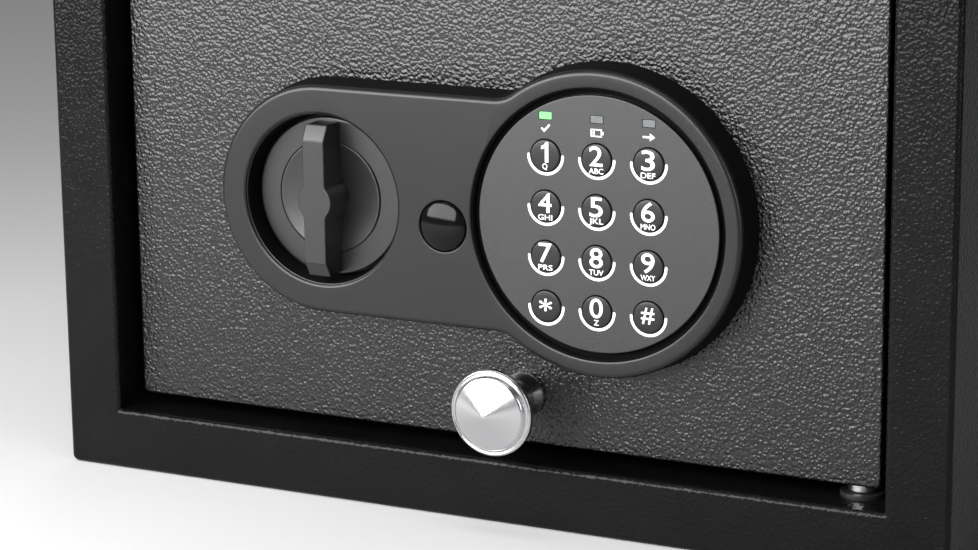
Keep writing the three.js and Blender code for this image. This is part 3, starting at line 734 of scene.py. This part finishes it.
def bar_outline(half_length, inset):
    """The grip bar seen from the front: straight sides with a round boss at the middle."""
    half, boss, blend = 3.85 * MM - inset, 6.0 * MM - inset, 3.0 * MM + inset
    rise = math.sqrt((boss + blend) ** 2 - (half + blend) ** 2)
    turn = math.degrees(math.atan2(rise, half + blend))
    x, z = HANDLE.x, HANDLE.z
    length = half_length - inset
    corner = 0.5 * MM
    right = (arc(x + half + blend, z - rise, blend, 180, 180 - turn, 6)[:-1]
             + arc(x, z, boss, -turn, turn, 14)[:-1]
             + arc(x + half + blend, z + rise, blend, 180 + turn, 180, 6))
    top = (arc(x + half - corner, z + length - corner, corner, 0, 90, 4)
           + arc(x - half + corner, z + length - corner, corner, 90, 180, 4))
    left = [(2 * x - u, 2 * z - v) for u, v in right]
    bottom = [(2 * x - u, 2 * z - v) for u, v in top]
    return right + top + left + bottom


def grip_bar():
    """The bar across the dial, with ends that slope down to their feet."""
    top, base = KNOB_LOW.y, PANEL_LOW.y + 8.6 * MM
    foot, head = 24.4 * MM, 20 * MM
    mesh_data = bmesh.new()
    rounding = 0.4 * MM
    layers = [(base, foot, 0), (top + 2.9 * MM, foot, 0), (top + 2.6 * MM, foot - 0.3 * MM, 0),
              (top + rounding, head + 0.3 * MM, 0)]
    layers += [(y, head, inset) for y, inset in edge(top, 1, rounding)[1:]]
    loops = [add_loop(mesh_data, bar_outline(length, inset), y) for y, length, inset in layers]
    for first, second in zip(loops, loops[1:]):
        bridge(mesh_data, first, second)
    fill(mesh_data, loops[-1])
    fill(mesh_data, loops[0])
    return mesh_data


def handle_dial():
    """The dial: an outer ring, a fine step, and a disc that is hollowed towards the bar."""
    face = (PANEL_LOW.y + 6.5 * MM) / MM
    back = KNOB_HIGH.y / MM
    rise = 0.3
    hollow = [(r, face - rise + 2.0 * (1 - (r / 17.4) ** 2)) for r in (0, 4, 7, 10, 12.5, 15)]
    profile = hollow + [(17.4, face - rise, 0.1), (17.9, face - rise, 0.2), (18.0, face + 0.45),
                        (18.25, face + 0.45), (18.35, face, 0.15), (25.6, face, 0.6),
                        (25.6, back - 1.6, 0.2), (6, back - 1.6), (6, back), (0, back)]
    dial = turned("y", Vector((HANDLE.x, 0, HANDLE.z)), profile, 128)
    return finish_piece("handle_dial", merge(dial, grip_bar()), HANDLE_PLASTIC, "handle",
                        "handle_knob")


# ---- Small turned pieces on the front ------------------------------------------------------------

def plug_dome():
    """The push-in cover over the keyway, with a shallow polished dome."""
    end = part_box("keyhole_cover")[1].y / MM
    rim = PANEL_LOW.y / MM - 0.2
    rise, sweep = 1.6, math.radians(42)
    radius = 7.5 / math.sin(sweep)
    dome = [(radius * math.sin(sweep * i / 12),
             rim - rise * (math.cos(sweep * i / 12) - math.cos(sweep)) / (1 - math.cos(sweep)))
            for i in range(13)]
    profile = dome + [(7.8, rim + 0.3, 0.2), (7.8, rim + 2.6), (6.4, rim + 2.6), (6.4, end),
                      (0, end)]
    return finish_piece("plug_dome", turned("y", Vector((PLUG.x, 0, PLUG.z)), profile), GLOSS,
                        "keyway_plug", "keyhole_cover")


def turned_knob():
    """The pull knob: a flared foot, a narrow waist, and a rolled rim round a shallow cone."""
    foot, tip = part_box("pull_knob")[1].y / MM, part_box("pull_knob")[0].y / MM
    rim = (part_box("pull_knob")[1].x - PULL.x) / MM
    profile = [(0, foot), (7.2, foot, 0.1), (7.2, foot - 1.3, 0.5), (6.9, foot - 2, 0.8),
               (5.6, foot - 4.6, 3), (4.7, foot - 8, 3), (4.6, foot - 11, 4),
               (5.6, foot - 15, 3), (8.6, foot - 18.6, 3), (12.6, foot - 21.3, 1.2),
               (rim, foot - 22.4, 0.6), (rim, foot - 23.9, 0.6), (13.1, foot - 24.5, 0.5),
               (12.7, foot - 24.1, 0.3), (12.2, foot - 24.3, 0.3), (11.4, tip + 3.9, 1.2),
               (1.2, tip + 0.45, 1.2), (0, tip)]
    return finish_piece("turned_knob", turned("y", Vector((PULL.x, 0, PULL.z)), profile, 128),
                        CHROME, "door", "pull_knob")


def panel_shade_skirt():
    """A matt near-black band round the side of the panel, flared a little towards the door: painted
    shade on the panel's side walls and on the door beside them.
    """
    front, back = PANEL_LOW.y + 1.9 * MM, PANEL_HIGH.y
    layers = [(front, 0.4 * MM), (back, 0.4 * MM), (back, -0.9 * MM), (back - 0.5 * MM, -0.8 * MM),
              (front, 0.12 * MM)]
    mesh_data = bmesh.new()
    loops = [add_loop(mesh_data, panel_outline(inset), y) for y, inset in layers]
    for first, second in zip(loops, loops[1:] + loops[:1]):
        bridge(mesh_data, first, second)
    return finish_piece("panel_shade_skirt", mesh_data, SHADE_BLACK, "door")


def shade_lining(name, centre, inner, outer, front, back):
    """A thin matt near-black ring against the side of a round recess, with a flat floor: painted
    shade in the recess.
    """
    y0, y1 = front / MM, back / MM
    profile = [(outer, y0), (outer, y1), (inner, y1), (inner, y1 - 0.2), (outer - 0.15, y1 - 0.2),
               (outer - 0.15, y0), (outer, y0)]
    place = Vector((centre.x, 0, centre.z))
    return finish_piece(name, turned("y", place, profile, 128), SHADE_BLACK, "door")


def recess_shade_linings():
    # Near-black rings in the keypad groove and the handle well: painted shade on their walls.
    shade_lining("groove_shade_lining", KEYPAD, 40.1, 42.15, PANEL_LOW.y + 0.9 * MM, PLATE_HIGH.y + 0.3 * MM)
    shade_lining("well_shade_lining", HANDLE, 25.9, 27.45, PANEL_LOW.y + 1.2 * MM, PANEL_HIGH.y - 1.6 * MM)


# ---- Hinge, bolts and back of the door -----------------------------------------------------------

def hinge_piece(name, profile, body, material):
    """A turned hinge part; profile heights are measured from the bottom of its node."""
    low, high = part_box(name)
    centre = Vector(((low.x + high.x) / 2, (low.y + high.y) / 2, low.z))
    return finish_piece(f"turned_{name}", turned("z", centre, profile, 48), material, body, name)


def hinges():
    """The two pins on the door, each with a shoulder, and the two flanged bushes in the frame."""
    steel = SLOT_MATERIALS["zinc"]
    nylon = SLOT_MATERIALS["nylon"]
    for name in ("hinge_pin_upper", "hinge_pin_lower"):
        low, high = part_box(name)
        tall = (high.z - low.z) / MM
        shoulder = (high.x - low.x) / MM / 2
        from_end, to_end = (25.4, 27.9) if name.endswith("upper") else (6.6, 9.1)
        profile = [(0, 0), (3, 0, 0.6), (3, from_end), (shoulder, from_end, 0.3),
                   (shoulder, to_end, 0.3), (3, to_end), (3, tall, 0.6), (0, tall)]
        hinge_piece(name, profile, "door", steel)
    for name in ("hinge_bush_upper", "hinge_bush_lower"):
        low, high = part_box(name)
        tall = (high.z - low.z) / MM
        flange = [(3.3, 0), (3.3, tall), (7, tall, 0.3), (7, tall - 1.5, 0.2), (5, tall - 1.5),
                  (5, 0, 0.3), (3.3, 0)]
        if name.endswith("upper"):
            flange = [(radius, tall - height, *rest) for radius, height, *rest in flange]
        hinge_piece(name, flange, "cabinet", nylon)


def bolts():
    """The two live bolts: a rounded nose, a plain body and a threaded tail."""
    for name in ("live_bolt_upper", "live_bolt_lower"):
        low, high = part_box(name)
        centre = Vector((low.x, (low.y + high.y) / 2, (low.z + high.z) / 2))
        body, end = 41.2, 49.2
        profile = [(0, 0), (5.9, 0, 0.4), (7, 1.6, 0.8), (7, body, 0.2), (3, body),
                   (3, end, 0.3), (0, end)]
        finish_piece(f"turned_{name}", turned("x", centre, profile, 64), SLOT_MATERIALS["chrome"],
                     "bolt_work", name)


def cut_by(piece, tools):
    """Cuts turned shapes out of a finished piece."""
    for tool in tools:
        mesh = bpy.data.meshes.new("tool")
        bmesh.ops.recalc_face_normals(tool, faces=tool.faces)
        tool.to_mesh(mesh)
        tool.free()
        cutter = bpy.data.objects.new("tool", mesh)
        bpy.context.scene.collection.objects.link(cutter)
        modifier = piece.modifiers.new("cut", "BOOLEAN")
        modifier.operation = "DIFFERENCE"
        modifier.object = cutter
        settle(piece)
        bpy.data.objects.remove(cutter)
        bpy.data.meshes.remove(mesh)


def inner_pan():
    """The folded cover over the works, with its battery window, reset hole and bolt holes."""
    low, high = COVER_LOW, COVER_HIGH
    sheet = 1.2 * MM

    def outline(inset):
        return rounded_box(low.x + inset, high.x - inset, low.z + inset, high.z - inset,
                           max(3 * MM - inset, 0.5 * MM))

    def window(inset):
        return rounded_box(33 * MM + inset, 93 * MM - inset, 73 * MM + inset, 127 * MM - inset,
                           1 * MM)
    layers = [(high.y - sheet, sheet), (low.y, sheet), (low.y, 0), (high.y - 2.2 * MM, 0)]
    layers += edge(high.y, -1, 2.2 * MM)[1:]
    reset = middle("reset_button")

    def round_hole(inset):
        return circle(reset.x, reset.z, 3.9 * MM - inset, 48)
    steps = [(high.y, -0.2 * MM), (high.y - 0.2 * MM, 0), (high.y - sheet, 0)]
    pan = slab(outline, layers, [(window, steps, True), (round_hole, steps, True)])
    piece = finish_piece("inner_pan", pan, SLOT_MATERIALS["black_paint"], "door", "inner_cover")
    tools = []
    for name in ("live_bolt_upper", "live_bolt_lower"):
        bolt = middle(name)
        centre = Vector((low.x - 2 * MM, bolt.y, bolt.z))
        tools.append(turned("x", centre, [(0, 0), (7.4, 0), (7.4, 6), (0, 6)], 48))
    cut_by(piece, tools)
    return piece


def battery_lid():
    """The sliding lid, with grip ribs near its pulling end."""
    low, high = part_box("battery_cover")

    def outline(inset):
        return rounded_box(low.x + inset, high.x - inset, low.z + inset, high.z - inset, 2 * MM)
    layers = [(low.y, 0.2 * MM), (low.y + 0.2 * MM, 0)] + edge(high.y - 0.7 * MM, -1, 0.8 * MM)
    parts = [slab(outline, layers)]
    ribs, pitch, width, margin = 6, 3.2, 1.6 * MM, 14 * MM
    top = edge(high.y, -1, 0.4 * MM)
    for number in range(ribs):
        x = low.x + (8 + pitch * number) * MM

        def rib(inset, x=x):
            return rounded_box(x + inset, x + width - inset, low.z + margin + inset,
                               high.z - margin - inset, 0.7 * MM - inset)
        parts.append(slab(rib, [(high.y - 0.9 * MM, 0)] + top))
    return finish_piece("battery_lid_cover", merge(*parts), SLOT_MATERIALS["black_plastic"],
                        "battery_lid", "battery_cover")


def reset_cap():
    """The red reset button, with a flange behind the cover."""
    low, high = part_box("reset_button")
    centre = Vector((middle("reset_button").x, 0, middle("reset_button").z))
    back, face = low.y / MM, high.y / MM
    profile = [(0, back), (5, back), (5, back + 1.2, 0.2), (3.5, back + 1.2), (3.5, face, 0.7),
               (1.5, face - 0.05), (0, face - 0.05)]
    return finish_piece("reset_cap", turned("y", centre, profile, 48),
                        SLOT_MATERIALS["red_plastic"], "reset", "reset_button")


def felt_mat():
    """The loose felt mat on the floor of the safe."""
    low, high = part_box("floor_mat")
    across, along = 76, 43
    mesh_data = bmesh.new()

    def sheet_point(i, j, z):
        x = low.x + (high.x - low.x) * i / across
        y = low.y + (high.y - low.y) * j / along
        return mesh_data.verts.new((x, y, z))
    upper = [[sheet_point(i, j, high.z) for j in range(along + 1)] for i in range(across + 1)]
    lower = [[sheet_point(i, j, low.z) for j in range(along + 1)] for i in range(across + 1)]
    for i in range(across):
        for j in range(along):
            for grid in (upper, lower):
                mesh_data.faces.new((grid[i][j], grid[i + 1][j], grid[i + 1][j + 1],
                                     grid[i][j + 1]))
    rim = ([(i, 0) for i in range(across)] + [(across, j) for j in range(along)]
           + [(i, along) for i in range(across, 0, -1)] + [(0, j) for j in range(along, 0, -1)])
    for here, after in zip(rim, rim[1:] + rim[:1]):
        mesh_data.faces.new((upper[here[0]][here[1]], upper[after[0]][after[1]],
                             lower[after[0]][after[1]], lower[here[0]][here[1]]))
    mat = finish_piece("felt_mat", mesh_data, SLOT_MATERIALS["felt"], "cabinet", "floor_mat",
                       sharp=60)
    return mat


# ---- Assembly ------------------------------------------------------------------------------------

def dress_cad_nodes():
    """Every CAD node that stays gets the material of its slot."""
    for name, node in frame["nodes"].items():
        node.data.materials.clear()
        node.data.materials.append(SLOT_MATERIALS[NODE_SLOT[name]])


def build_safe():
    """Dresses the CAD nodes and builds every piece."""
    dress_cad_nodes()
    cabinet_shell()
    rear_plate()
    door_skin()
    panel_housing()
    keypad_plate()
    for name in LAMPS:
        lamp_lens(name)
    for name, sign, letters in KEYS:
        key_cap(name)
        key_print(name, sign, letters)
    faceplate_print()
    handle_dial()
    plug_dome()
    turned_knob()
    panel_shade_skirt()
    recess_shade_linings()
    hinges()
    bolts()
    inner_pan()
    battery_lid()
    reset_cap()
    felt_mat()


# ---- Studio --------------------------------------------------------------------------------------

def direction(azimuth, elevation):
    """From the safe towards a place; azimuth 0 is straight in front and grows to the right."""
    a, e = math.radians(azimuth), math.radians(elevation)
    return Vector((math.sin(a) * math.cos(e), -math.cos(a) * math.cos(e), math.sin(e)))


def aim(thing, place, target, roll=0.0):
    look = (target - place).to_track_quat("-Z", "Y").to_matrix().to_4x4()
    thing.matrix_world = Matrix.Translation(place) @ look @ Matrix.Rotation(roll, 4, "Z")


def softbox(name, azimuth, elevation, distance, size, power):
    """A rectangular light aimed at the door; size is in metres and power in watts."""
    light = bpy.data.lights.new(name, "AREA")
    light.shape = "RECTANGLE"
    light.size, light.size_y = size
    light.energy = power
    lamp = bpy.data.objects.new(name, light)
    bpy.context.scene.collection.objects.link(lamp)
    centre = Vector((0, DOOR_LOW.y, 0.1))
    aim(lamp, centre + direction(azimuth, elevation) * distance, centre)


def studio():
    """A pale floor, three soft lights on the safe, one on the floor behind, and a dim sky."""
    mesh = bpy.data.meshes.new("floor")
    reach = 6.0
    mesh.from_pydata([(-reach, -reach, 0), (reach, -reach, 0), (reach, reach, 0),
                      (-reach, reach, 0)], [], [(0, 1, 2, 3)])
    floor = bpy.data.objects.new("floor", mesh)
    mesh.materials.append(floor_material())
    bpy.context.scene.collection.objects.link(floor)
    softbox("key_softbox", -27, 22, 0.64, (0.8, 0.45), 14)
    softbox("top_softbox", 0, 76, 1.0, (1.0, 0.16), 3)
    softbox("right_strip", 72, 12, 1.0, (0.06, 0.5), 2.2)
    softbox("backdrop_light", 180, 35, 3.2, (3.0, 1.5), 26)
    world = bpy.data.worlds.new("studio")
    world.use_nodes = True
    world.node_tree.nodes["Background"].inputs["Color"].default_value = (0.5, 0.51, 0.52, 1)
    world.node_tree.nodes["Background"].inputs["Strength"].default_value = 0.2
    bpy.context.scene.world = world
    bpy.context.scene.view_settings.view_transform = "Standard"


def camera():
    """A long lens, seen from the right and a little above, rolled very slightly."""
    azimuth, elevation, distance, roll = 26.579, 13.541, 0.91113, math.radians(-0.604)
    data = bpy.data.cameras.new("camera")
    data.sensor_width = 36.0
    data.lens = 108.1
    data.clip_end = 50
    view = bpy.data.objects.new("camera", data)
    bpy.context.scene.collection.objects.link(view)
    target = Vector((KEYPAD.x - 36.76 * MM, PLATE_LOW.y, KEYPAD.z - 19.04 * MM))
    aim(view, target + direction(azimuth, elevation) * distance, target, roll)
    bpy.context.scene.camera = view


build_safe()
studio()
camera()
